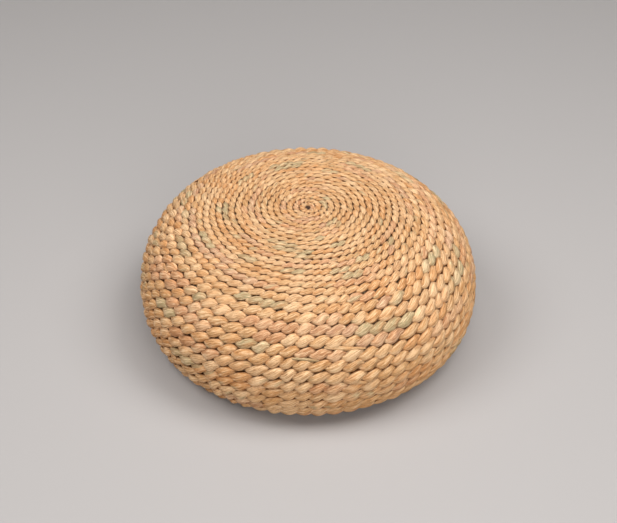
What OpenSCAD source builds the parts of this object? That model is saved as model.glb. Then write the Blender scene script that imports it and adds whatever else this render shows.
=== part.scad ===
// Round twined-rush seat pad: courses of twined strands over radial spokes,
// worked from the crown, over the side and in underneath, round a lined core
// of stacked foam slabs.

/* [Pad] */
// Diameter over the widest course
pad_d = 400; // [340:5:480]
// Height from the floor to the crown
pad_h = 170; // [142:2:204]
// Height of the middle of the widest course
widest_h = 68; // [56:2:82]
// Diameter of the flat underside, to the middle of its outer course
foot_d = 304; // [240:4:340]
// Squareness of the dome sideways: 2 is round, more is squarer
dome_power = 4; // [3:0.1:5]
// Squareness of the dome upwards: 2 is round, less is more pointed
crown_power = 1.72; // [1.6:0.02:2.2]
// Squareness of the lower edge: 2 is round, more is squarer
edge_power = 2.5; // [2:0.1:3]

/* [Weave] */
// Spacing of the fine courses at the crown
crown_pitch = 7.4; // [6.2:0.1:9]
// Spacing of the coarse courses on the side and the underside
side_pitch = 13.5; // [11.2:0.1:16.2]
// Distance from the middle of the crown at which the courses start to coarsen
fine_until = 100; // [70:5:130]
// Distance from the middle of the crown at which they are fully coarse
coarse_from = 215; // [180:5:260]
// Free space between neighbouring courses
course_gap = 0.4; // [0.3:0.05:0.8]
// How far the floor presses the underside courses flat
floor_press = 0.7; // [0.5:0.05:1.2]
// Radius of the woven eye that starts the crown
eye_r = 6; // [5:0.5:8]
// Radius of the dimple in the middle of an eye
dimple_r = 1.6; // [1.2:0.1:2.4]

/* [Spokes] */
// Number of arms in each of the three sets of spokes
arms = 22; // [18:2:26]
// Width of a spoke
spoke_w = 4; // [3:0.5:5]
// Thickness of a spoke
spoke_t = 2; // [1.4:0.1:2.4]
// Free space on each side of a spoke inside its twined pair
spoke_fit = 0.3; // [0.2:0.05:0.5]
// Radius from which the second set is worked in
second_r = 36; // [30:1:48]
// Radius from which the third set is worked in
third_r = 84; // [70:2:100]

/* [Core] */
// Thickness of the cloth liner
liner_t = 1; // [0.6:0.1:2]
// Free space between the weave and the liner, and between the liner and the foam
liner_fit = 0.4; // [0.3:0.1:1]
// Free space between two sewn panels of the liner
seam_gap = 0.2; // [0.1:0.05:0.4]
// How far the liner's base panel turns up the side
base_turn_up = 12; // [8:1:20]
// Number of foam slabs in the core
slabs = 3; // [2:1:4]
// Thickness of the glue line between two slabs
glue_line = 0.2; // [0.1:0.05:0.4]

/* [Hidden] */
$fn = 96;
outline_steps = 60;

// The middles of the courses lie on this outline of [radius, height]: a
// superelliptic dome, a superelliptic lower edge and the flat underside.
crown_z = pad_h - (crown_pitch - course_gap) / 2;
widest_r = (pad_d - side_pitch + course_gap) / 2;
foot_z = (side_pitch - course_gap) / 2 - floor_press;

function dome_point(turn) = [
  widest_r * pow(sin(turn), 2 / dome_power),
  widest_h + (crown_z - widest_h) * pow(cos(turn), 2 / crown_power)
];
function edge_point(turn) = [
  foot_d / 2 + (widest_r - foot_d / 2) * pow(cos(turn), 2 / edge_power),
  widest_h - (widest_h - foot_z) * pow(sin(turn), 2 / edge_power)
];
outline = [
  for (i = [0 : outline_steps]) dome_point(90 * i / outline_steps),
  for (i = [1 : outline_steps]) edge_point(90 * i / outline_steps),
  [0, foot_z]
];

// Distance along the outline from the middle of the crown, and lookups by it.
steps = [for (i = [1 : len(outline) - 1]) norm(outline[i] - outline[i - 1])];
along = [for (i = 0, s = 0; i < len(outline); s = s + (i < len(steps) ? steps[i] : 0), i = i + 1) s];
outline_length = along[len(along) - 1];
radius_table = [for (i = [0 : len(outline) - 1]) [along[i], outline[i].x]];
height_table = [for (i = [0 : len(outline) - 1]) [along[i], outline[i].y]];
function at(s) = [lookup(s, radius_table), lookup(s, height_table)];
function unit(v) = v / norm(v);
function heading(s) = unit(at(min(s + 2, outline_length)) - at(max(s - 2, 0)));
function outward(s) = [-heading(s).y, heading(s).x];

// The spacing of the courses grows smoothly from the crown to the side.
function ease(x) = let (k = min(max(x, 0), 1)) k * k * (3 - 2 * k);
function pitch(s) = crown_pitch
  + (side_pitch - crown_pitch) * ease((s - fine_until) / (coarse_from - fine_until));
function next_course(s) = s + (pitch(s) + pitch(s + pitch(s))) / 2;
first_course = eye_r + course_gap / 2 + crown_pitch / 2;
last_course = outline_length - dimple_r - side_pitch;
courses = [for (s = first_course; s <= last_course; s = next_course(s)) s];
function course_r(i) = (pitch(courses[i]) - course_gap) / 2;

// The top ends at the shoulder, and the underside starts where the courses lie
// low enough to be pressed on the floor.
shoulder_z = widest_h + (crown_z - widest_h) * 0.6;
press_reach = 1;
top_count = len([for (s = courses) if (at(s).y > shoulder_z) s]);
base_count = len([for (s = courses) if (at(s).y < foot_z + press_reach) s]);
side_count = len(courses) - top_count - base_count;
function is_base(i) = i >= top_count + side_count;

// A node holds one course. A pad with more courses than this has neighbouring
// courses share a node.
most_course_nodes = 46;
share = ceil(len(courses) / most_course_nodes);
function number(n) = n < 10 ? str("0", n) : str(n);
function zone_nodes(zone, first, count) = [
  for (k = [0 : ceil(count / share) - 1])
    [
      str(zone, "_course_", number(k + 1)),
      first + k * share,
      first + min((k + 1) * share, count) - 1
    ]
];
course_nodes = concat(
  zone_nodes("top", 0, top_count),
  zone_nodes("side", top_count, side_count),
  zone_nodes("base", top_count + side_count, base_count)
);

rush = [0.86, 0.68, 0.47];
rush_shade = [0.76, 0.57, 0.37];
spoke_rush = [0.70, 0.56, 0.38];
calico = [0.90, 0.87, 0.80];
foam = [0.95, 0.94, 0.90];

// A twined pair in section, +X outwards: one strand passes outside the spoke
// and one inside it, with a slot between them that the spoke runs in.
half_slot = spoke_t / 2 + spoke_fit;
module twine_section(r, press) {
  difference() {
    circle(r);
    square([2 * half_slot, 3 * r], center = true);
    translate([r - press, -2 * r]) square([r, 4 * r]);
  }
}

// Middle of a course. One on the underside sits with its pressed face at z = 0.
function middle(i) =
  is_base(i) ? [at(courses[i]).x, course_r(i) - floor_press] : at(courses[i]);

module course(i) {
  n = outward(courses[i]);
  color(i % 2 == 0 ? rush : rush_shade)
    rotate_extrude()
      translate(middle(i))
        rotate(is_base(i) ? -90 : atan2(n.y, n.x))
          twine_section(course_r(i), is_base(i) ? floor_press : 0);
}

module course_group(first, last) {
  for (i = [first : last]) course(i);
}

// Corners of a spoke's middle line: one between each two courses, so that each
// stretch runs straight through the middle of its course.
function corner(i) = (
  middle(i) + heading(courses[i]) * pitch(courses[i]) / 2
  + middle(i + 1) - heading(courses[i + 1]) * pitch(courses[i + 1]) / 2
) / 2;
function corner_out(i) = unit(outward(courses[i]) + outward(courses[i + 1]));

// One flat spoke that follows the courses between two corners.
module spoke(first, last) {
  outer_side = [for (i = [first : last]) corner(i) + corner_out(i) * spoke_t / 2];
  inner_side = [for (i = [last : -1 : first]) corner(i) - corner_out(i) * spoke_t / 2];
  rotate([90, 0, 0])
    linear_extrude(spoke_w, center = true)
      polygon(concat(outer_side, inner_side));
}

// The corners from which a spoke that starts at radius r can run.
corner_radii = [for (i = [0 : len(courses) - 2]) corner(i).x];
function corners_from(r) = [for (i = [0 : len(corner_radii) - 1]) if (corner_radii[i] >= r) i];
function first_corner(r) = corners_from(r)[0];
function last_corner(r) = corners_from(r)[len(corners_from(r)) - 1];

// Radius inside which this many spokes would run into each other.
function crowding_r(count) = spoke_w / 2 / tan(180 / count) + 2 * spoke_fit;

module spoke_set(start_r, turn) {
  color(spoke_rush)
    for (k = [0 : arms - 1])
      rotate(360 * (k + turn) / arms) spoke(first_corner(start_r), last_corner(start_r));
}

module primary_spokes() { spoke_set(crowding_r(arms), 0); }
module second_spokes() { spoke_set(max(second_r, crowding_r(3 * arms)), 1 / 3); }
module third_spokes() { spoke_set(max(third_r, crowding_r(3 * arms)), 2 / 3); }

// Inside their crowding radius the first spokes cross in a flat rosette.
module rosette(z, corner) {
  color(spoke_rush)
    translate([0, 0, z - spoke_t / 2])
      cylinder(h = spoke_t, r = corner_radii[corner] - spoke_fit);
}
module crown_rosette() { rosette(crown_z, first_corner(crowding_r(arms))); }
module base_rosette() { rosette(foot_z, last_corner(crowding_r(arms))); }

// Eye of wrapped rush over a rosette, with a rounded rim and a dimple.
module eye(r, outer) {
  bead = r - half_slot;
  rotate_extrude()
    difference() {
      union() {
        translate([0, half_slot]) square([outer - bead, bead]);
        intersection() {
          translate([outer - bead, half_slot]) circle(bead);
          translate([0, half_slot]) square([outer, bead]);
        }
      }
      square([dimple_r, 2 * r]);
    }
}
last_i = len(courses) - 1;
module crown_eye() {
  color(rush) translate([0, 0, crown_z]) eye(course_r(0), eye_r);
}
module base_eye() {
  color(rush_shade)
    translate([0, 0, foot_z])
      mirror([0, 0, 1])
        eye(foot_z, middle(last_i).x - course_r(last_i) - course_gap);
}

// Space inside the weave as an outline of [radius, height], closed on the axis
// and drawn in by a depth.
inner_crown = crown_z - course_r(0);
inner_foot = foot_z + course_r(last_i);
function inside(depth) = [
  [0, inner_crown - depth],
  for (i = [0 : last_i])
    middle(i) - (is_base(i) ? [0, -1] : outward(courses[i])) * (course_r(i) + depth),
  [0, inner_foot + depth]
];

// The liner: a shell just inside the weave, in three sewn panels.
module liner_panel(low, high) {
  color(calico)
    rotate_extrude()
      intersection() {
        difference() {
          polygon(inside(liner_fit));
          polygon(inside(liner_fit + liner_t));
        }
        translate([0, low]) square([pad_d, high - low]);
      }
}
lower_seam_z = inner_foot + liner_fit + liner_t + base_turn_up;
module liner_top() { liner_panel(shoulder_z, pad_h); }
module liner_band() { liner_panel(lower_seam_z, shoulder_z - seam_gap); }
module liner_base() { liner_panel(0, lower_seam_z - seam_gap); }

// The core: equal foam slabs, glued one on another and trimmed to the liner.
core_depth = liner_fit + liner_t + liner_fit;
core_foot = inner_foot + core_depth;
slab_h = (inner_crown - core_depth - core_foot) / slabs;
module core_slab(k) {
  color(foam)
    rotate_extrude()
      intersection() {
        polygon(inside(core_depth));
        translate([0, core_foot + k * slab_h])
          square([pad_d, slab_h - (k < slabs - 1 ? glue_line : 0)]);
      }
}

slab_nodes = [for (k = [0 : slabs - 1]) str("core_slab_", k + 1)];

for (group = course_nodes)
  course_group(group[1], group[2]);
for (k = [0 : slabs - 1])
  core_slab(k);
crown_eye();
crown_rosette();
primary_spokes();
second_spokes();
third_spokes();
base_rosette();
base_eye();
liner_top();
liner_band();
liner_base();
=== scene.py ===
import math

import bpy
import numpy as np
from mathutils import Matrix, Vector


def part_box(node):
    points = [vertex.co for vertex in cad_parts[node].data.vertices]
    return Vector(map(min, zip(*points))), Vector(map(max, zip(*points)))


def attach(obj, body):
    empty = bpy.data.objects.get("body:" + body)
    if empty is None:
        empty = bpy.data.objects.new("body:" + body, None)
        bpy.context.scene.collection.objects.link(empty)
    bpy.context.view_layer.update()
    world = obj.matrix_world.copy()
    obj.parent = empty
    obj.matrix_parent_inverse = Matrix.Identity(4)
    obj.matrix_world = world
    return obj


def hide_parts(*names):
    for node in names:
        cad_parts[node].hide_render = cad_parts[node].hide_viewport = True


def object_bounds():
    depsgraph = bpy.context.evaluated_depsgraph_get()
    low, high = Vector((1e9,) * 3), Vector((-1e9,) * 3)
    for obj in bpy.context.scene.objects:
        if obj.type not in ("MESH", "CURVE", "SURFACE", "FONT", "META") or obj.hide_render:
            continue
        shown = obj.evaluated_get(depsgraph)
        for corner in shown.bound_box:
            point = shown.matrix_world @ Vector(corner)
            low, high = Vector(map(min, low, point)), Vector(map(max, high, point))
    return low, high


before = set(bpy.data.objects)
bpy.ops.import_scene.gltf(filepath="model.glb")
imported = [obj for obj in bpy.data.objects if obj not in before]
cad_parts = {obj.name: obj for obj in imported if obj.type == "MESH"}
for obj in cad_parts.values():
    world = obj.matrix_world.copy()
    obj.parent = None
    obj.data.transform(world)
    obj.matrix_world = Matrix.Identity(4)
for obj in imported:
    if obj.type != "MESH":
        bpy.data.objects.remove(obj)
cad_box = [list(corner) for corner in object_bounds()]


# ---------------------------------------------------------------------------
# The twined weave: two twisted strands of dried rush pass outside and inside
# the radial spokes, cross between them, and wind outwards from the middle of
# the crown, over the side and in underneath. One band of courses is a piece.
# ---------------------------------------------------------------------------
mm = 0.001
zones = ["top", "side", "base"]
course_nodes = sorted(
    (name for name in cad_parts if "_course_" in name),
    key=lambda name: (zones.index(name.split("_")[0]), name),
)


def zone_of(course):
    return course_nodes[course].split("_")[0]


# Each CAD course gives the radius, height and half width of one turn. Those
# underneath are pressed flat, so they take the width of the last side course.
radius_of_turn, height_of_turn, half_of_turn = [], [], []
for course, name in enumerate(course_nodes):
    low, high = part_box(name)
    half = half_of_turn[-1] if zone_of(course) == "base" else (high.z - low.z) / 2
    radius_of_turn.append(high.x - half)
    height_of_turn.append(high.z - half)
    half_of_turn.append(half)
turns = len(course_nodes)
start_angle = math.radians(-70)
smallest_radius = 1.5 * mm
lean = 0.012            # how far the hand-shaped dome leans down to the right, per metre
level_height = 0.02     # below this height the lean has died out
lean_reach = 0.08       # how far above that it is at its full


def through(values, turn):
    """A smooth curve through one value per turn, running on straight at both ends."""
    values = np.array(values)
    first, last = values[0] - values[1], values[-1] - values[-2]
    padded = np.concatenate([
        values[0] + first * np.array([3, 2, 1]), values, values[-1] + last * np.array([1, 2, 3]),
    ])
    turn = np.clip(np.asarray(turn, float) + 3, 1, len(padded) - 2.001)
    i = turn.astype(int)
    f = turn - i
    a, b, c, d = (padded[i + k] for k in (-1, 0, 1, 2))
    return b + f * ((c - a) + f * ((2 * a - 5 * b + 4 * c - d) + f * (3 * (b - c) + d - a))) / 2


def ease(x):
    x = np.clip(x, 0, 1)
    return x * x * (3 - 2 * x)


def hand_noise(x, seed, knots=1024):
    """Smooth noise from -1 to 1 along x, one value per unit."""
    values = np.random.default_rng(seed).uniform(-1, 1, knots)
    i = np.floor(x).astype(int)
    f = ease(x - i)
    return values[i % knots] * (1 - f) + values[(i + 1) % knots] * f


# More spokes are worked in as the courses get longer, so a turn has more lobes.
lobe_radii = [8 * mm, 22 * mm, 42 * mm, 70 * mm, 86 * mm, 104 * mm]
lobe_counts = [12, 19, 29, 36, 50, 66]


def lobes_per_turn(radius):
    return np.interp(radius, lobe_radii, lobe_counts)


# Turn by turn, the maker lets the courses sink towards the right of the pad
# and brings them back up behind it. It dies out at the crown and underneath.
sink = 1.0              # how far the courses sink, in turns
sink_from, sink_full, sink_back = math.radians(-98), math.radians(-40), math.radians(225)
first_to_sink, fully_sunk, rising_again, last_to_sink = 9, 22, 27, 35
wobble = 0.05           # how far a course strays from its place, in turns


def drift(turn):
    """How far, in turns, the courses have sunk at this point of the spiral."""
    angle = np.mod(2 * math.pi * turn + start_angle - sink_from, 2 * math.pi)
    falling = ease(angle / (sink_full - sink_from))
    rising = ease((angle - (sink_full - sink_from)) / (sink_back - sink_full))
    share = ease((turn - first_to_sink) / (fully_sunk - first_to_sink))
    share = share * ease((last_to_sink - turn) / (last_to_sink - rising_again))
    stray = wobble * hand_noise(9 * turn, 11) * ease((turn - 2) / 5)
    return sink * share * (falling - rising) + stray


def on_spiral(turn):
    """Middle of the course at a point of the spiral, as x, y and z arrays."""
    sunk = drift(turn)
    radius = np.maximum(through(radius_of_turn, turn + sunk), smallest_radius)
    height = through(height_of_turn, turn + sunk)
    # Along a turn the weave runs a little ahead of its even place and falls behind it.
    angle = 2 * math.pi * turn + start_angle
    angle = angle + 0.012 * np.sin(5 * angle + 0.21 * turn) + 0.008 * np.sin(11 * angle - 0.4 * turn)
    x, y = radius * np.cos(angle), radius * np.sin(angle)
    return np.stack([x, y, height - lean * x * ease((height - level_height) / lean_reach)], -1)


first_turn, last_turn = -0.8, turns - 0.3
fine_turns = np.linspace(first_turn, last_turn, 24000)
crossed = np.concatenate([[0], np.cumsum(
    lobes_per_turn(through(radius_of_turn, fine_turns[1:])) * np.diff(fine_turns)
)])


lobe_unevenness = 0.11  # of the length of a lobe


def turn_of(crossing):
    """Where a crossing of the pair falls on the spiral; no two lobes are as long as each other."""
    uneven = crossing + lobe_unevenness * hand_noise(0.83 * crossing, 3, 4096)
    return np.interp(uneven, crossed, fine_turns)


def spoke_number(turn):
    return np.interp(turn, fine_turns, crossed)


def unit(v):
    return v / np.linalg.norm(v, axis=-1, keepdims=True)


def course_frame(turn):
    """Middle, outward direction, direction up the outline and half width of the course."""
    middle, step = on_spiral(turn), 0.002
    forward = unit(on_spiral(turn + step) - on_spiral(turn - step))
    above, below = on_spiral(turn - 1), on_spiral(turn + 1)
    up = above - below
    up = unit(up - forward * np.sum(up * forward, -1, keepdims=True))
    half = (np.linalg.norm(above - middle, axis=-1) + np.linalg.norm(below - middle, axis=-1)) / 4
    half = np.where(turn < 1, through(half_of_turn, turn), half)
    return middle, np.cross(forward, up), up, half


# Rings of points in a lobe: more where the strand is outside, and seen.
outer_rings, inner_rings = 10, 4


def strand_points(first, last, strand):
    """Spoke numbers along one strand of the pair, and the phase of its weave."""
    numbers = []
    for k in range(math.floor(first), math.ceil(last) + 1):
        rings = outer_rings if (k + strand) % 2 == 0 else inner_rings
        numbers += list(k - 0.5 + np.arange(rings) / rings)
    numbers = np.array([first] + [n for n in numbers if first < n < last] + [last])
    return numbers, math.pi * (numbers + strand)


# A leaf's tone runs from 0, straw, to 1, grey-green, and shows on a few lobes in
# a row. Round the shoulder the maker used a greener bundle.
greener_from, greener_to, greener_power = 9, 22, 0.6
leaf_draw = np.random.default_rng(1968)
tone_of_lobe = []
while len(tone_of_lobe) < crossed[-1] + 20:
    greener = greener_from < turn_of(np.array([len(tone_of_lobe)]))[0] < greener_to
    tone = leaf_draw.uniform() ** (greener_power if greener else 1.0)
    tone_of_lobe += [tone] * leaf_draw.choice([1, 1, 2, 2, 3, 4])
tone_of_lobe = np.array(tone_of_lobe)


def on_course(numbers):
    return course_frame(turn_of(numbers))


fibre_repeat = 7 * mm       # length along a strand in which its fibres change
strand_stagger = 37 * mm    # sets the fibres of one strand off from the next


def new_object(name, data):
    made = bpy.data.objects.new(name, data)
    bpy.context.scene.collection.objects.link(made)
    return made


def lay_guide(name, strands):
    """An object of polylines, one for each strand, whose points carry what the weave needs."""
    mesh = bpy.data.meshes.new(name)
    middles = [strand["middle"] for strand in strands]
    edges, start = [], 0
    for middle in middles:
        edges += [(start + i, start + i + 1) for i in range(len(middle) - 1)]
        start += len(middle)
    mesh.from_pydata([tuple(point) for middle in middles for point in middle], edges, [])
    for strand in strands:
        steps = np.linalg.norm(np.diff(strand["middle"], axis=0), axis=1)
        strand["along"] = np.concatenate([[0], np.cumsum(steps)]) + strand_stagger * strand["lobe"][0]
    for key in ("outward", "up", "half", "phase", "lobe", "tone", "along", "relief"):
        values = np.concatenate([strand[key] for strand in strands]).astype(np.float32)
        kind, field = ("FLOAT_VECTOR", "vector") if values.ndim == 2 else ("FLOAT", "value")
        mesh.attributes.new(key, kind, "POINT").data.foreach_set(field, values.ravel())
    return new_object(name, mesh)


def relief_of(half):
    """0 on the fine courses, which are pulled tight, to 1 on the coarse ones."""
    return ease((half - 3.4 * mm) / (2.6 * mm))


def pair_guide(name, first, last, place=on_course):
    strands = []
    for strand in (0, 1):
        numbers, phase = strand_points(first - (strand == 1), last - (strand == 1), strand)
        middle, outward, up, half = place(numbers)
        shown = 2 * np.round((numbers - strand) / 2).astype(int) + strand
        strands.append({
            "middle": middle, "outward": outward, "up": up, "half": half, "phase": phase,
            "lobe": np.round(numbers) * 2 + strand, "tone": tone_of_lobe[shown], "relief": relief_of(half),
        })
    return lay_guide(name, strands)


def new_tree(name, inputs):
    """A geometry node tree with named inputs, and its group input and output nodes."""
    tree = bpy.data.node_groups.new(name, "GeometryNodeTree")
    tree.interface.new_socket("Geometry", in_out="INPUT", socket_type="NodeSocketGeometry")
    for label, (kind, default) in inputs.items():
        socket = tree.interface.new_socket(label, in_out="INPUT", socket_type=kind)
        if default is not None:
            socket.default_value = default
    tree.interface.new_socket("Geometry", in_out="OUTPUT", socket_type="NodeSocketGeometry")
    return tree, tree.nodes.new("NodeGroupInput"), tree.nodes.new("NodeGroupOutput")


def join(tree, source, target):
    """Feeds a node input from an output socket, or sets it to a plain value."""
    if isinstance(source, bpy.types.NodeSocket):
        tree.links.new(source, target)
    else:
        target.default_value = source


def sums(tree, operation, *values):
    node = tree.nodes.new("ShaderNodeMath")
    node.operation = operation
    for socket, value in zip(node.inputs, values):
        join(tree, value, socket)
    return node.outputs[0]


def vectors(tree, operation, first, second):
    node = tree.nodes.new("ShaderNodeVectorMath")
    node.operation = operation
    join(tree, first, node.inputs[0])
    join(tree, second, node.inputs["Scale" if operation == "SCALE" else 1])
    return node.outputs[0]


def vector_from(tree, x=0.0, y=0.0, z=0.0):
    node = tree.nodes.new("ShaderNodeCombineXYZ")
    for value, socket in zip((x, y, z), node.inputs):
        join(tree, value, socket)
    return node.outputs[0]


def parts_of(tree, vector):
    node = tree.nodes.new("ShaderNodeSeparateXYZ")
    join(tree, vector, node.inputs[0])
    return node.outputs


def carried(tree, name, kind="FLOAT"):
    node = tree.nodes.new("GeometryNodeInputNamedAttribute")
    node.data_type = kind
    node.inputs["Name"].default_value = name
    return node.outputs["Attribute"]


def store(tree, geometry, name, value, kind="FLOAT"):
    node = tree.nodes.new("GeometryNodeStoreNamedAttribute")
    node.data_type = kind
    node.domain = "POINT"
    node.inputs["Name"].default_value = name
    join(tree, geometry, node.inputs["Geometry"])
    join(tree, value, node.inputs["Value"])
    return node.outputs["Geometry"]


def to_tube(tree, guide, sides):
    """A closed tube round a guide, whose points know their place round it in turns."""
    curve = tree.nodes.new("GeometryNodeMeshToCurve")
    join(tree, guide, curve.inputs["Mesh"])
    ring = tree.nodes.new("GeometryNodeCurvePrimitiveCircle")
    join(tree, sides, ring.inputs["Resolution"])
    ring.inputs["Radius"].default_value = 0.5 * mm
    index = tree.nodes.new("GeometryNodeInputIndex").outputs[0]
    ring_out = store(tree, ring.outputs["Curve"], "around", sums(tree, "DIVIDE", index, sides))
    middle = tree.nodes.new("GeometryNodeInputPosition").outputs[0]
    curve_out = store(tree, curve.outputs["Curve"], "middle", middle, "FLOAT_VECTOR")
    sweep = tree.nodes.new("GeometryNodeCurveToMesh")
    join(tree, curve_out, sweep.inputs["Curve"])
    join(tree, ring_out, sweep.inputs["Profile Curve"])
    sweep.inputs["Fill Caps"].default_value = True
    return sweep.outputs["Mesh"]


def angle_round(tree):
    """Place of a point round its strand, as an angle."""
    return sums(tree, "MULTIPLY", carried(tree, "around"), 2 * math.pi)


def outwards(tree, out_by):
    """The middle of the strand, moved outwards."""
    step = vectors(tree, "SCALE", carried(tree, "outward", "FLOAT_VECTOR"), out_by)
    return vectors(tree, "ADD", carried(tree, "middle", "FLOAT_VECTOR"), step)


def moved_to(tree, geometry, place):
    node = tree.nodes.new("GeometryNodeSetPosition")
    join(tree, geometry, node.inputs["Geometry"])
    join(tree, place, node.inputs["Position"])
    return node.outputs[0]


def leaf_place(tree, angle):
    """The leaf's own coordinates: round the strand, and along it."""
    along = sums(tree, "DIVIDE", carried(tree, "along"), fibre_repeat)
    return vector_from(tree, sums(tree, "COSINE", angle), sums(tree, "SINE", angle), along)


def finish_tree(tree, geometry, material, target):
    smooth = tree.nodes.new("GeometryNodeSetShadeSmooth")
    join(tree, geometry, smooth.inputs["Geometry"])
    real = tree.nodes.new("GeometryNodeRealizeInstances")
    join(tree, smooth.outputs[0], real.inputs["Geometry"])
    paint = tree.nodes.new("GeometryNodeSetMaterial")
    join(tree, real.outputs[0], paint.inputs["Geometry"])
    join(tree, material, paint.inputs["Material"])
    join(tree, paint.outputs[0], target.inputs[0])


twine_inputs = {
    "Sides": ("NodeSocketInt", 12),
    "Depth": ("NodeSocketFloat", 0.32),
    "Slant": ("NodeSocketFloat", 0.48),
    "Outer Width": ("NodeSocketFloat", 1.12),
    "Crossing Width": ("NodeSocketFloat", 0.58),
    "Outer Thickness": ("NodeSocketFloat", 0.71),
    "Crossing Thickness": ("NodeSocketFloat", 0.61),
    "Fine Crossing": ("NodeSocketFloat", 0.09),
    "Fine Width": ("NodeSocketFloat", -0.12),
    "Fine Slant": ("NodeSocketFloat", -0.15),
    "Unevenness": ("NodeSocketFloat", 0.13),
    "Leaf Folds": ("NodeSocketFloat", 0.035),
    "Twist": ("NodeSocketFloat", -35.0),
    "Press": ("NodeSocketFloat", 1.2 * mm),
    "Seed": ("NodeSocketInt", 7),
    "Material": ("NodeSocketMaterial", None),
}


def twine_tree():
    """Sweeps each guide into a strand that swells on the outside and crosses between spokes."""
    tree, given, result = new_tree("twined_pair", twine_inputs)
    size = given.outputs
    tube = to_tube(tree, size["Geometry"], size["Sides"])
    phase, half = carried(tree, "phase"), carried(tree, "half")
    swing = sums(tree, "COSINE", phase)
    side = sums(tree, "SINE", phase)
    steeper = sums(tree, "MULTIPLY_ADD", sums(tree, "ABSOLUTE", side), 0.55, 0.45)
    side = sums(tree, "MULTIPLY", side, steeper)
    swell = sums(tree, "MAXIMUM", swing, 0.0)

    # Every lobe is a little fatter or thinner than the next.
    chance = tree.nodes.new("FunctionNodeRandomValue")
    chance.data_type = "FLOAT"
    chance.inputs["Min"].default_value = -1.0
    lobe = tree.nodes.new("FunctionNodeFloatToInt")
    join(tree, carried(tree, "lobe"), lobe.inputs[0])
    join(tree, lobe.outputs[0], chance.inputs["ID"])
    join(tree, size["Seed"], chance.inputs["Seed"])
    uneven = sums(tree, "MULTIPLY", chance.outputs["Value"], size["Unevenness"])
    fat = sums(tree, "MULTIPLY_ADD", uneven, swell, 1.0)

    # The fine courses are pulled tighter, so their crossings are hardly narrower.
    fine = sums(tree, "SUBTRACT", 1.0, carried(tree, "relief"))
    tight = sums(tree, "MULTIPLY", fine, size["Fine Crossing"])

    def swelling(crossing, outer):
        crossing = sums(tree, "ADD", crossing, tight)
        grown = sums(tree, "MULTIPLY", sums(tree, "SUBTRACT", outer, crossing), swell)
        reach = sums(tree, "MULTIPLY", sums(tree, "ADD", grown, crossing), half)
        return sums(tree, "MULTIPLY", reach, fat)

    slant = sums(tree, "MULTIPLY_ADD", fine, size["Fine Slant"], size["Slant"])
    outer_width = sums(tree, "MULTIPLY_ADD", fine, size["Fine Width"], size["Outer Width"])
    width = swelling(size["Crossing Width"], outer_width)
    thick = swelling(size["Crossing Thickness"], size["Outer Thickness"])
    turned = angle_round(tree)
    # Folded leaf shows as five blunt ridges that run along the strand.
    twisted = sums(tree, "MULTIPLY_ADD", carried(tree, "along"), size["Twist"], turned)
    ridge_start = sums(tree, "MULTIPLY", carried(tree, "tone"), 40.0)
    ridge = sums(tree, "SINE", sums(tree, "MULTIPLY_ADD", twisted, 5.0, ridge_start))
    fold = sums(tree, "MULTIPLY_ADD", ridge, size["Leaf Folds"], 1.0)
    round_out = sums(tree, "MULTIPLY", sums(tree, "COSINE", turned), fold)
    swung_out = sums(tree, "MULTIPLY", sums(tree, "MULTIPLY", swing, size["Depth"]), half)
    out_by = sums(tree, "MULTIPLY_ADD", round_out, thick, swung_out)
    round_up = sums(tree, "MULTIPLY", sums(tree, "SINE", turned), fold)
    slanted_up = sums(tree, "MULTIPLY", sums(tree, "MULTIPLY", side, slant), half)
    up_by = sums(tree, "MULTIPLY_ADD", round_up, width, slanted_up)
    upwards = vectors(tree, "SCALE", carried(tree, "up", "FLOAT_VECTOR"), up_by)
    place = parts_of(tree, vectors(tree, "ADD", outwards(tree, out_by), upwards))

    # The floor presses flat what would reach below it.
    pressed = sums(tree, "SMOOTH_MAX", place["Z"], 0.0, size["Press"])
    strand = moved_to(tree, tube, vector_from(tree, place["X"], place["Y"], pressed))
    geometry = store(tree, strand, "fibre", leaf_place(tree, twisted), "FLOAT_VECTOR")
    geometry = store(tree, geometry, "outside", swing)
    geometry = store(tree, geometry, "crest", sums(tree, "COSINE", turned))
    geometry = store(tree, geometry, "chance", chance.outputs["Value"])
    finish_tree(tree, geometry, size["Material"], result)
    return tree


def grow(guide, tree, values):
    """Runs a tree on its guide, and returns the result as a plain mesh in the guide's place."""
    modifier = guide.modifiers.new("weave", "NODES")
    modifier.node_group = tree
    for item in tree.interface.items_tree:
        if item.in_out == "INPUT" and item.name in values:
            modifier[item.identifier] = values[item.name]
    evaluated = guide.evaluated_get(bpy.context.evaluated_depsgraph_get())
    mesh = bpy.data.meshes.new_from_object(evaluated)
    mesh.name = guide.name
    guide.modifiers.remove(modifier)
    old = guide.data
    guide.data = mesh
    bpy.data.meshes.remove(old)
    return guide


def shader_group(name, inputs, outputs):
    """A shader node group with named inputs and outputs."""
    group = bpy.data.node_groups.new(name, "ShaderNodeTree")
    for label, (kind, default) in inputs.items():
        socket = group.interface.new_socket(label, in_out="INPUT", socket_type=kind)
        if default is not None:
            socket.default_value = default
    for label, kind in outputs.items():
        group.interface.new_socket(label, in_out="OUTPUT", socket_type=kind)
    return group, group.nodes.new("NodeGroupInput"), group.nodes.new("NodeGroupOutput")


def noise(tree, where, scale, detail=2.0, roughness=0.5, stretch=None):
    if stretch is not None:
        where = vectors(tree, "MULTIPLY", where, stretch)
    node = tree.nodes.new("ShaderNodeTexNoise")
    join(tree, where, node.inputs["Vector"])
    join(tree, scale, node.inputs["Scale"])
    node.inputs["Detail"].default_value = detail
    node.inputs["Roughness"].default_value = roughness
    return node.outputs["Fac"]


def between(tree, value, low, high, to_low=0.0, to_high=1.0):
    node = tree.nodes.new("ShaderNodeMapRange")
    node.interpolation_type = "SMOOTHSTEP"
    for label, amount in (("Value", value), ("From Min", low), ("From Max", high),
                          ("To Min", to_low), ("To Max", to_high)):
        join(tree, amount, node.inputs[label])
    return node.outputs["Result"]


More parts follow.
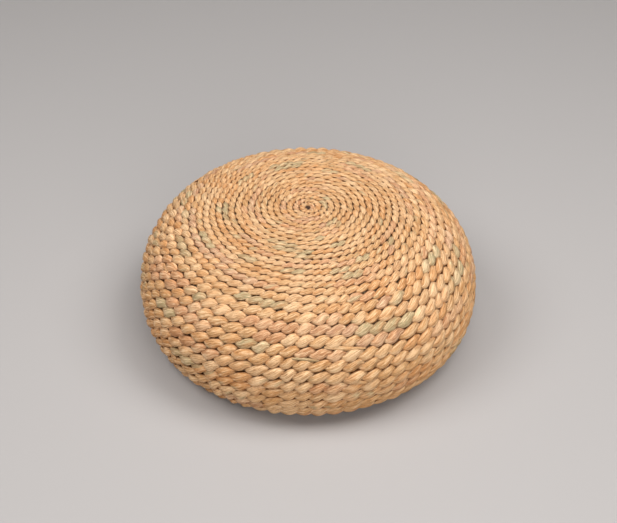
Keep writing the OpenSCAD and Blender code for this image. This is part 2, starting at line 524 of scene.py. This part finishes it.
def tinted(tree, amount, colour, other, kind="MIX"):
    node = tree.nodes.new("ShaderNodeMix")
    node.data_type = "RGBA"
    node.blend_type = kind
    join(tree, amount, node.inputs["Factor"])
    for label, value in (("A", colour), ("B", other)):
        socket = next(s for s in node.inputs if s.name == label and s.type == "RGBA")
        join(tree, value if isinstance(value, bpy.types.NodeSocket) else (*value, 1), socket)
    return next(s for s in node.outputs if s.type == "RGBA")


def bumped(tree, surface, height, strength, depth):
    bump = tree.nodes.new("ShaderNodeBump")
    bump.inputs["Strength"].default_value = strength
    bump.inputs["Distance"].default_value = depth
    join(tree, height, bump.inputs["Height"])
    join(tree, bump.outputs["Normal"], surface.inputs["Normal"])


def object_place(tree):
    return tree.nodes.new("ShaderNodeTexCoord").outputs["Object"]


def leaf_surface():
    """Dried leaf: fibre lines along the strand, dark flecks, and a height for the bump."""
    group, given, result = shader_group(
        "leaf_surface",
        {"Fibre": ("NodeSocketVector", None), "Lines": ("NodeSocketFloat", 4.0),
         "Flecks": ("NodeSocketFloat", 0.6)},
        dict.fromkeys(("Lines", "Flecks", "Blotches", "Height"), "NodeSocketFloat"),
    )
    where = given.outputs["Fibre"]
    coarse = noise(group, where, given.outputs["Lines"], 2, 0.5, (1, 1, 0.16))
    fine = noise(group, where, sums(group, "MULTIPLY", given.outputs["Lines"], 2.7), 2, 0.6, (1, 1, 0.10))
    lines = sums(group, "MULTIPLY_ADD", sums(group, "SUBTRACT", fine, coarse), 0.5, coarse)
    specks = noise(group, where, 8.0, 2, 0.6, (1, 1, 0.6))
    flecks = sums(group, "MULTIPLY", between(group, specks, 0.60, 0.72), given.outputs["Flecks"])
    blotches = noise(group, where, 0.55, 2, 0.5, (1, 1, 0.5))
    height = sums(group, "MULTIPLY_ADD", flecks, -0.25, lines)
    for label, value in (("Lines", lines), ("Flecks", flecks), ("Blotches", blotches), ("Height", height)):
        join(group, value, result.inputs[label])
    return group


leaf_group = leaf_surface()

# Tones of dried rush, in the order of a leaf's tone from 0 to 1, with the share
# of the leaves that has each.
rush_tones = [
    (0.31, (0.600, 0.328, 0.140)),   # straw
    (0.19, (0.615, 0.350, 0.158)),   # yellower straw
    (0.17, (0.665, 0.408, 0.212)),   # pale straw
    (0.14, (0.590, 0.290, 0.112)),   # orange
    (0.09, (0.560, 0.285, 0.148)),   # pinkish brown
    (0.04, (0.500, 0.275, 0.165)),   # mauve
    (0.06, (0.385, 0.318, 0.175)),   # grey-green
]


def leaf_colour(tree, tone):
    ramp = tree.nodes.new("ShaderNodeValToRGB")
    ramp.color_ramp.interpolation = "CONSTANT"
    share = 0.0
    for i, (part, colour) in enumerate(rush_tones):
        stop = ramp.color_ramp.elements[i] if i < 2 else ramp.color_ramp.elements.new(share)
        stop.position = share
        stop.color = (*colour, 1)
        share += part
    join(tree, tone, ramp.inputs["Fac"])
    return ramp.outputs["Color"]


def new_material(name):
    material = bpy.data.materials.new(name)
    material.use_nodes = True
    return material, material.node_tree, material.node_tree.nodes["Principled BSDF"]


def reading(tree, name, output="Fac"):
    node = tree.nodes.new("ShaderNodeAttribute")
    node.attribute_name = name
    return node.outputs[output]


def rush_material(name, shade=(1, 1, 1)):
    """Dried leaf in its tones; a shade colour, when given, darkens them all as painted shade."""
    material, tree, surface = new_material(name)
    leaf = tree.nodes.new("ShaderNodeGroup")
    leaf.node_tree = leaf_group
    join(tree, reading(tree, "fibre", "Vector"), leaf.inputs["Fibre"])
    colour = leaf_colour(tree, reading(tree, "tone"))
    colour = tinted(tree, 1.0, colour, shade, "MULTIPLY")
    # Painted shade: towards the bottom the leaf is tinted darker and warmer, standing in for the warm
    # bounced light in the side's shade.
    low = between(tree, parts_of(tree, object_place(tree))["Z"], 0.15, 0.04)
    colour = tinted(tree, low, colour, (1.0, 0.945, 0.83), "MULTIPLY")
    # Each lobe has caught a little more or less sun than the next.
    spread = sums(tree, "MULTIPLY_ADD", reading(tree, "relief"), 0.4, 0.6)
    sun = sums(tree, "MULTIPLY", reading(tree, "chance"), spread)
    colour = tinted(tree, between(tree, sun, 0.1, -1.0, 0, 0.28), colour, (0.38, 0.18, 0.065))
    colour = tinted(tree, between(tree, sun, 0.1, 1.0, 0, 0.40), colour, (0.84, 0.60, 0.36))
    green = noise(tree, reading(tree, "fibre", "Vector"), 0.42, 1, 0.5, (1, 1, 0.7))
    colour = tinted(tree, between(tree, green, 0.66, 0.74, 0, 0.7), colour, (0.34, 0.285, 0.155))
    # Blotches shift the tone. The fibre lines streak the leaf, with painted shade in each groove and a
    # painted highlight on each fibre that stands up.
    for label, start, full, strength, other in (
        ("Blotches", 0.5, 0.7, 0.5, (0.66, 0.31, 0.12)),
        ("Blotches", 0.5, 0.3, 0.5, (0.76, 0.50, 0.28)),
        ("Lines", 0.50, 0.38, 0.80, (0.32, 0.14, 0.05)),
        ("Lines", 0.50, 0.61, 0.70, (0.88, 0.63, 0.38)),
    ):
        colour = tinted(tree, between(tree, leaf.outputs[label], start, full, 0, strength), colour, other)
    colour = tinted(tree, leaf.outputs["Flecks"], colour, (0.24, 0.11, 0.045))
    # Painted shade: the leaf is darkened on its sides between the courses and where the strand passes
    # inside, where shade falls.
    painted_furrow_shade = sums(tree, "MULTIPLY_ADD", reading(tree, "relief"), 0.06, reading(tree, "crest"))
    colour = tinted(tree, between(tree, painted_furrow_shade, 0.52, 0.14, 0, 1.0), colour, (0.14, 0.044, 0.008))
    # Painted shade on the strand where it passes inside the spokes.
    painted_inside_shade = between(tree, reading(tree, "outside"), -0.15, -0.7, 0, 0.9)
    colour = tinted(tree, painted_inside_shade, colour, (0.10, 0.04, 0.014))
    join(tree, colour, surface.inputs["Base Color"])
    join(tree, between(tree, leaf.outputs["Lines"], 0.3, 0.7, 0.78, 0.55), surface.inputs["Roughness"])
    surface.inputs["Specular IOR Level"].default_value = 0.2
    bumped(tree, surface, leaf.outputs["Height"], 0.9, 1.0 * mm)
    return material


twine_material = rush_material("twisted_rush")
pair_tree = twine_tree()

# Each band is a run of courses in one zone of the pad.
courses_per_band = {"top": [7, 6, 4, 4], "side": [4, 4, 3], "base": [3, 4, 4]}


def bands():
    first = 0
    for zone in zones:
        for number, count in enumerate(courses_per_band[zone], 1):
            yield f"{zone}_weave_{number}", first, first + count
            first += count


weave_end = 2 * math.floor(crossed[-1] / 2) - 1.0
for name, first, last in bands():
    start = 1.0 if first == 0 else 2 * round(spoke_number(first - 0.5) / 2) + 1.0
    end = weave_end if last >= turns else 2 * round(spoke_number(last - 0.5) / 2) + 1.0
    weave = grow(pair_guide(name, start, end), pair_tree, {"Material": twine_material})
    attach(weave, "root")
    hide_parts(*course_nodes[first:last])


# ---------------------------------------------------------------------------
# Leaf ends: where a new leaf is laid in, its cut end shows between two courses,
# and here and there a spare leaf fills a gap between them for a few lobes.
# ---------------------------------------------------------------------------
def laid_leaf(turn, length, width, shift, lift, number):
    """A loose leaf along a course, shifted up the outline in half widths and lifted at its end."""
    t = np.linspace(0, 1, 10)
    radius = through(radius_of_turn, turn)
    middle, outward, up, half = course_frame(turn + t * length / (2 * math.pi * radius))
    shape = np.sin(math.pi * (0.12 + 0.80 * t)) ** 0.7
    out_by = half * 0.62 + lift * t ** 2
    wander = 0.16 * half * hand_noise(3 * t + 7 * number, 23)
    middle = middle + outward * out_by[:, None] + up * (half * shift + wander)[:, None]
    return {
        "middle": middle, "outward": outward, "up": up, "half": width * shape / 1.1, "phase": 0 * t,
        "lobe": 0 * t + 9000 + number, "tone": 0 * t + leaf_draw.uniform(), "relief": 0 * t + 1,
    }


# Four leaves between the coarse courses at the front, and the rest all round.
front_leaves = [
    (21.96, 46 * mm, 2.6 * mm, -0.98, 0),
    (22.93, 30 * mm, 2.3 * mm, -1.0, 0),
    (26.84, 13 * mm, 2.6 * mm, -0.9, 2.2 * mm),
    (26.80, 10 * mm, 2.0 * mm, -1.1, 1 * mm),
]
leaf_count = 40
loose = [laid_leaf(*leaf, number) for number, leaf in enumerate(front_leaves)]
for number in range(len(front_leaves), leaf_count):
    turn = 5 + 36 * leaf_draw.uniform() ** 0.8
    wide = float(through(half_of_turn, turn)) * leaf_draw.uniform(0.28, 0.42)
    long = wide * leaf_draw.uniform(3, 9)
    loose.append(laid_leaf(turn, long, wide, -1.0, leaf_draw.choice([0, 0, 1.2 * mm]), number))
leaf_ends = grow(lay_guide("leaf_ends", loose), pair_tree, {"Depth": 0.0, "Material": twine_material})
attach(leaf_ends, "root")


# ---------------------------------------------------------------------------
# Crown eye and base knot: at both ends of the spiral the pair curls in round
# the axis, gets thinner and is tucked down into the pad, leaving a small hole.
# ---------------------------------------------------------------------------
tucked_lobes = 5
hole_radius, tuck_depth = 6 * mm, 6 * mm
curl_angle = 1.25 * math.pi
thinning = 0.6


def tucked_end(joint, way):
    """Continues the course at a joint: round the axis, thinner, and down into the pad."""
    def place(numbers):
        past = np.clip((numbers - joint) * way / tucked_lobes, 0, 1)
        middle, outward, up, half = on_course(np.where(past > 0, joint, numbers))
        radius = np.hypot(middle[:, 0], middle[:, 1])
        angle = np.arctan2(middle[:, 1], middle[:, 0]) + way * past * curl_angle
        radius = radius + (hole_radius - radius) * past ** 0.6
        sunk = middle[:, 2] - outward[:, 2] * tuck_depth * past ** 2
        around = np.stack([np.cos(angle), np.sin(angle), 0 * angle], -1)
        curled = around * radius[:, None] + np.array([0, 0, 1]) * sunk[:, None]
        on_axis = (past > 0)[:, None]
        upright = np.sign(outward[:, 2:3]) * np.array([0, 0, 1])
        inwards = around * np.sign(outward[:, 2:3]) * -1
        return (np.where(on_axis, curled, middle), np.where(on_axis, upright, outward),
                np.where(on_axis, inwards, up), half * (1 - thinning * past))
    return place


crown_eye = pair_guide("crown_eye_curl", 1.0 - tucked_lobes, 1.0, tucked_end(1.0, -1))
base_knot = pair_guide("base_end_knot", weave_end, weave_end + tucked_lobes, tucked_end(weave_end, 1))
for knot, node in ((crown_eye, "crown_eye"), (base_knot, "base_eye")):
    grow(knot, pair_tree, {"Material": twine_material})
    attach(knot, "root")
    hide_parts(node)


# ---------------------------------------------------------------------------
# Radial spokes: narrow folded rush stakes that run from the crown rosette over
# the side and in underneath, just inside the courses. Each set starts where
# the last has spread too far apart, so one stake is made and repeated round.
# ---------------------------------------------------------------------------
spoke_width, spoke_thickness, spoke_gap = 4 * mm, 2 * mm, 0.3 * mm
arms = 22
spoke_inputs = {
    "Count": ("NodeSocketInt", arms),
    "First Angle": ("NodeSocketFloat", 0.0),
    "Width": ("NodeSocketFloat", spoke_width),
    "Thickness": ("NodeSocketFloat", spoke_thickness),
    "Ribs": ("NodeSocketFloat", 0.08),
    "Material": ("NodeSocketMaterial", None),
}


def spoke_tree():
    """Sweeps one stake along its guide and repeats it round the axis."""
    tree, given, result = new_tree("spoke_ring", spoke_inputs)
    size = given.outputs
    tube = to_tube(tree, size["Geometry"], 12)
    turned = angle_round(tree)
    # Six ribs run along the stake.
    ribs = sums(tree, "COSINE", sums(tree, "MULTIPLY", turned, 6.0))
    rib = sums(tree, "MULTIPLY_ADD", ribs, size["Ribs"], 1.0)
    round_out = sums(tree, "MULTIPLY", sums(tree, "COSINE", turned), rib)
    out_by = sums(tree, "MULTIPLY", round_out, sums(tree, "MULTIPLY", size["Thickness"], 0.5))
    half_width = sums(tree, "MULTIPLY", size["Width"], 0.5)
    side_by = sums(tree, "MULTIPLY", sums(tree, "SINE", turned), half_width)
    place = vectors(tree, "ADD", outwards(tree, out_by), vector_from(tree, y=side_by))
    stake = moved_to(tree, tube, place)
    stake = store(tree, stake, "fibre", leaf_place(tree, turned), "FLOAT_VECTOR")
    stake = store(tree, stake, "outside", 1.0)
    stake = store(tree, stake, "crest", 1.0)
    points = tree.nodes.new("GeometryNodePoints")
    join(tree, size["Count"], points.inputs["Count"])
    repeat = tree.nodes.new("GeometryNodeInstanceOnPoints")
    join(tree, points.outputs[0], repeat.inputs["Points"])
    join(tree, stake, repeat.inputs["Instance"])
    index = tree.nodes.new("GeometryNodeInputIndex").outputs[0]
    step = sums(tree, "DIVIDE", 2 * math.pi, size["Count"])
    turn = sums(tree, "MULTIPLY_ADD", index, step, size["First Angle"])
    join(tree, vector_from(tree, z=turn), repeat.inputs["Rotation"])
    finish_tree(tree, repeat.outputs[0], size["Material"], result)
    return tree


def outline_inside(depth, from_radius, count):
    """Points and normals of the pad's outline, this far inside the courses, in the XZ plane."""
    turn = np.linspace(-0.9, turns + 0.2, 4000)
    radius, height = through(radius_of_turn, turn), through(height_of_turn, turn)
    along_r, along_z = np.gradient(radius), np.gradient(height)
    length = np.hypot(along_r, along_z)
    normal_r, normal_z = -along_z / length, along_r / length
    inside = through(half_of_turn, turn) + depth
    radius, height = radius - normal_r * inside, height - normal_z * inside
    keep = radius >= from_radius
    picks = np.flatnonzero(keep)[np.linspace(0, keep.sum() - 1, count).astype(int)]
    return radius[picks], height[picks], normal_r[picks], normal_z[picks]


def spoke_guide(name, from_radius):
    # Known fault: a real stake runs between the two strands. This one lies inside
    # both of them, where the liner should be, and dips into the foam slabs.
    depth = spoke_gap + spoke_thickness / 2
    radius, height, normal_r, normal_z = outline_inside(depth, from_radius, 64)
    mesh = bpy.data.meshes.new(name)
    points = [(r, 0, z) for r, z in zip(radius, height)]
    mesh.from_pydata(points, [(i, i + 1) for i in range(len(points) - 1)], [])
    normals = np.stack([normal_r, 0 * normal_r, normal_z], -1).astype(np.float32)
    steps = np.hypot(np.diff(radius), np.diff(height))
    along = np.concatenate([[0], np.cumsum(steps)]).astype(np.float32)
    mesh.attributes.new("outward", "FLOAT_VECTOR", "POINT").data.foreach_set("vector", normals.ravel())
    mesh.attributes.new("along", "FLOAT", "POINT").data.foreach_set("value", along)
    mesh.attributes.new("tone", "FLOAT", "POINT")
    return new_object(name, mesh)


def inner_end(node):
    return min(math.hypot(v.co.x, v.co.y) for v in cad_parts[node].data.vertices)


# Painted shade: the stakes are made near black, standing in for the shade in the gaps where they show.
spoke_material = rush_material("spoke_rush", shade=(0.07, 0.045, 0.025))
ring_tree = spoke_tree()
for number, node in enumerate(("primary_spokes", "second_spokes", "third_spokes")):
    ring = spoke_guide(node.replace("_spokes", "_stakes"), inner_end(node) + 1 * mm)
    first_angle = 2 * math.pi * number / (3 * arms)
    grow(ring, ring_tree, {"Count": arms, "First Angle": first_angle, "Material": spoke_material})
    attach(ring, "root")
    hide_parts(node)

# The rosettes, where the stakes cross flat at the axis, are the CAD nodes. Both
# lie under the weave; their near-black brown is painted shade for the hole of the crown eye.
rosette_material, tree, surface = new_material("crossed_stakes")
strips = noise(tree, object_place(tree), 700.0, 2, 0.5, (1, 0.12, 1))
brown = tinted(tree, between(tree, strips, 0.4, 0.6), (0.030, 0.012, 0.004), (0.070, 0.030, 0.011))
join(tree, brown, surface.inputs["Base Color"])
join(tree, between(tree, strips, 0.3, 0.7, 0.9, 0.7), surface.inputs["Roughness"])
for node in ("crown_rosette", "base_rosette"):
    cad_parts[node].material_slots[0].material = rosette_material


# ---------------------------------------------------------------------------
# Liner: a sewn bag of plain brown cotton that holds the core. A round panel
# above and one below are sewn to a band, with the two seams turned outwards.
# ---------------------------------------------------------------------------
warp_threads = 1400.0   # counted round the bag


def liner_cloth():
    """Plain weave: threads over and under, with slubs and a little fading."""
    group, given, result = shader_group(
        "plain_cloth",
        {"Position": ("NodeSocketVector", None), "Thread": ("NodeSocketFloat", 0.8 * mm)},
        {"Threads": "NodeSocketFloat", "Fading": "NodeSocketFloat"},
    )
    where = given.outputs["Position"]
    place = parts_of(group, where)
    turn = sums(group, "ARCTAN2", place["Y"], place["X"])
    pitch = sums(group, "DIVIDE", 2 * math.pi, given.outputs["Thread"])
    warp = sums(group, "SINE", sums(group, "MULTIPLY", turn, warp_threads))
    weft = sums(group, "SINE", sums(group, "MULTIPLY", place["Z"], pitch))
    woven = sums(group, "MULTIPLY_ADD", sums(group, "MULTIPLY", warp, weft), 0.5, 0.5)
    join(group, woven, result.inputs["Threads"])
    join(group, noise(group, where, 30.0, 3, 0.6), result.inputs["Fading"])
    return group


cloth_material, tree, surface = new_material("liner_cotton")
cloth = tree.nodes.new("ShaderNodeGroup")
cloth.node_tree = liner_cloth()
join(tree, object_place(tree), cloth.inputs["Position"])
# The cotton is brown, made darker still: painted shade for the gaps between the courses, where it shows.
faded = between(tree, cloth.outputs["Fading"], 0.35, 0.65)
cotton = tinted(tree, faded, (0.050, 0.024, 0.011), (0.075, 0.040, 0.020))
under = between(tree, cloth.outputs["Threads"], 0.4, 0.0, 0, 0.6)
cotton = tinted(tree, under, cotton, (0.025, 0.012, 0.006))
join(tree, cotton, surface.inputs["Base Color"])
join(tree, between(tree, cloth.outputs["Threads"], 0, 1, 0.95, 0.8), surface.inputs["Roughness"])
surface.inputs["Sheen Weight"].default_value = 0.2
bumped(tree, surface, cloth.outputs["Threads"], 0.5, 0.3 * mm)

# Known fault: to clear the stakes, the bag lies a little inside the foam's surface.
liner_depth = 2 * spoke_gap + spoke_thickness + 1.0 * mm
bag_rings, bag_sides = 120, 192
middle_hole = 0.5 * mm      # closed by a fan of faces above and below
seam_pull, seam_spread = 1.0 * mm, 5 * mm
roll_height, roll_width = 0.9 * mm, 0.9 * mm
flat_radius = 60 * mm       # no seam lies inside this
radius, height, normal_r, normal_z = outline_inside(liner_depth, middle_hole, bag_rings)
seam_heights = [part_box("liner_band")[1].z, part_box("liner_band")[0].z]
# The cloth is drawn in a little at each seam, and a rolled edge stands up along it.
for seam in seam_heights:
    near = np.exp(-((height - seam) / seam_spread) ** 2) * (radius > flat_radius)
    edge = np.exp(-((height - seam) / roll_width) ** 2) * (radius > flat_radius)
    pull = seam_pull * near - roll_height * edge
    radius, height = radius - normal_r * pull, height - normal_z * pull
points, faces = [(0, 0, height[0])], []
angles = np.linspace(0, 2 * math.pi, bag_sides + 1)[:-1]
for r, z in zip(radius, height):
    points += [(r * math.cos(a), r * math.sin(a), z) for a in angles]
points.append((0, 0, height[-1]))
for i in range(bag_sides):
    j = (i + 1) % bag_sides
    faces.append((0, 1 + i, 1 + j))
    for ring in range(bag_rings - 1):
        a, b = 1 + ring * bag_sides, 1 + (ring + 1) * bag_sides
        faces.append((a + i, b + i, b + j, a + j))
    last_ring = 1 + (bag_rings - 1) * bag_sides
    faces.append((last_ring + i, len(points) - 1, last_ring + j))
mesh = bpy.data.meshes.new("liner_bag")
mesh.from_pydata(points, [], faces)
mesh.polygons.foreach_set("use_smooth", [True] * len(mesh.polygons))
mesh.materials.append(cloth_material)
liner_bag = new_object("liner_bag", mesh)
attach(liner_bag, "root")
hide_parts("liner_top", "liner_band", "liner_base")


# ---------------------------------------------------------------------------
# Core: three glued slabs of foam inside the liner, left as the CAD nodes. Fine
# open cells, slightly yellowed.
# ---------------------------------------------------------------------------
foam_material, tree, surface = new_material("core_foam")
cells = noise(tree, object_place(tree), 900.0, 2, 0.6)
aged = noise(tree, object_place(tree), 12.0, 2, 0.5)
foam = tinted(tree, between(tree, aged, 0.35, 0.65), (0.78, 0.70, 0.48), (0.82, 0.78, 0.62))
foam = tinted(tree, between(tree, cells, 0.5, 0.3), foam, (0.42, 0.35, 0.2))
join(tree, foam, surface.inputs["Base Color"])
join(tree, between(tree, cells, 0.3, 0.7, 0.98, 0.85), surface.inputs["Roughness"])
bumped(tree, surface, cells, 0.6, 0.4 * mm)
for node in ("core_slab_1", "core_slab_2", "core_slab_3"):
    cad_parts[node].material_slots[0].material = foam_material


# ---------------------------------------------------------------------------
# Studio: a plain pale floor that curves up behind, two large soft lights high
# on the left and right, weaker ones above and in front, and a faint surround.
# ---------------------------------------------------------------------------
def stage_floor():
    front, back, rise, bend, width = 3.0, 1.6, 3.0, 1.0, 6.0
    outline = [(-front, 0.0)] + [
        (back + bend * math.sin(a), bend - bend * math.cos(a)) for a in np.linspace(0, math.pi / 2, 13)
    ] + [(back + bend, rise)]
    mesh = bpy.data.meshes.new("studio_floor")
    points = [(x, y, z) for x in (-width, width) for y, z in outline]
    count = len(outline)
    mesh.from_pydata(points, [], [(i, i + count, i + count + 1, i + 1) for i in range(count - 1)])
    for polygon in mesh.polygons:
        polygon.use_smooth = True
    floor = new_object("studio_floor", mesh)
    material, tree, surface = new_material("studio_paper")
    surface.inputs["Base Color"].default_value = (0.393, 0.375, 0.369, 1)
    surface.inputs["Roughness"].default_value = 0.9
    mesh.materials.append(material)


stage_floor()


def soft_light(name, place, size, watts, colour, aim=(0, 0, 0.1)):
    data = bpy.data.lights.new(name, "AREA")
    data.shape = "DISK"
    data.size = size
    data.energy = watts
    data.color = colour
    light = new_object(name, data)
    light.location = place
    light.rotation_mode = "QUATERNION"
    light.rotation_quaternion = (Vector(aim) - Vector(place)).to_track_quat("-Z", "Y")


soft_light("right_light", (1.2, -0.3, 2.2), 1.4, 33.5, (1.0, 0.99, 0.975))
soft_light("left_light", (-1.2, -0.4, 2.0), 1.4, 30, (1.0, 0.99, 0.98))
soft_light("top_light", (0.22, -0.12, 1.8), 1.2, 12, (1.0, 0.99, 0.975))
soft_light("front_light", (0.3, -1.8, 1.0), 1.4, 21.3, (1.0, 0.99, 0.98))

world = bpy.data.worlds.new("surround")
world.use_nodes = True
world.node_tree.nodes["Background"].inputs["Color"].default_value = (1.0, 0.99, 0.985, 1)
world.node_tree.nodes["Background"].inputs["Strength"].default_value = 0.02
bpy.context.scene.world = world
bpy.context.scene.view_settings.view_transform = "Standard"

# The camera looks down on the pad from the front, four and a half pad widths away.
lowest, highest = (Vector(corner) for corner in cad_box)
pad_middle = (lowest + highest) / 2
camera_height_angle = math.radians(38)
camera_distance = 4.5 * (highest.x - lowest.x)
camera = new_object("camera", bpy.data.cameras.new("camera"))
camera.data.lens = 88.3
camera.location = pad_middle + camera_distance * Vector(
    (0, -math.cos(camera_height_angle), math.sin(camera_height_angle))
)
camera.rotation_mode = "QUATERNION"
camera_aim = pad_middle + Vector((0, 0, 2.9 * mm))
camera.rotation_quaternion = (camera_aim - camera.location).to_track_quat("-Z", "Y")
bpy.context.scene.camera = camera
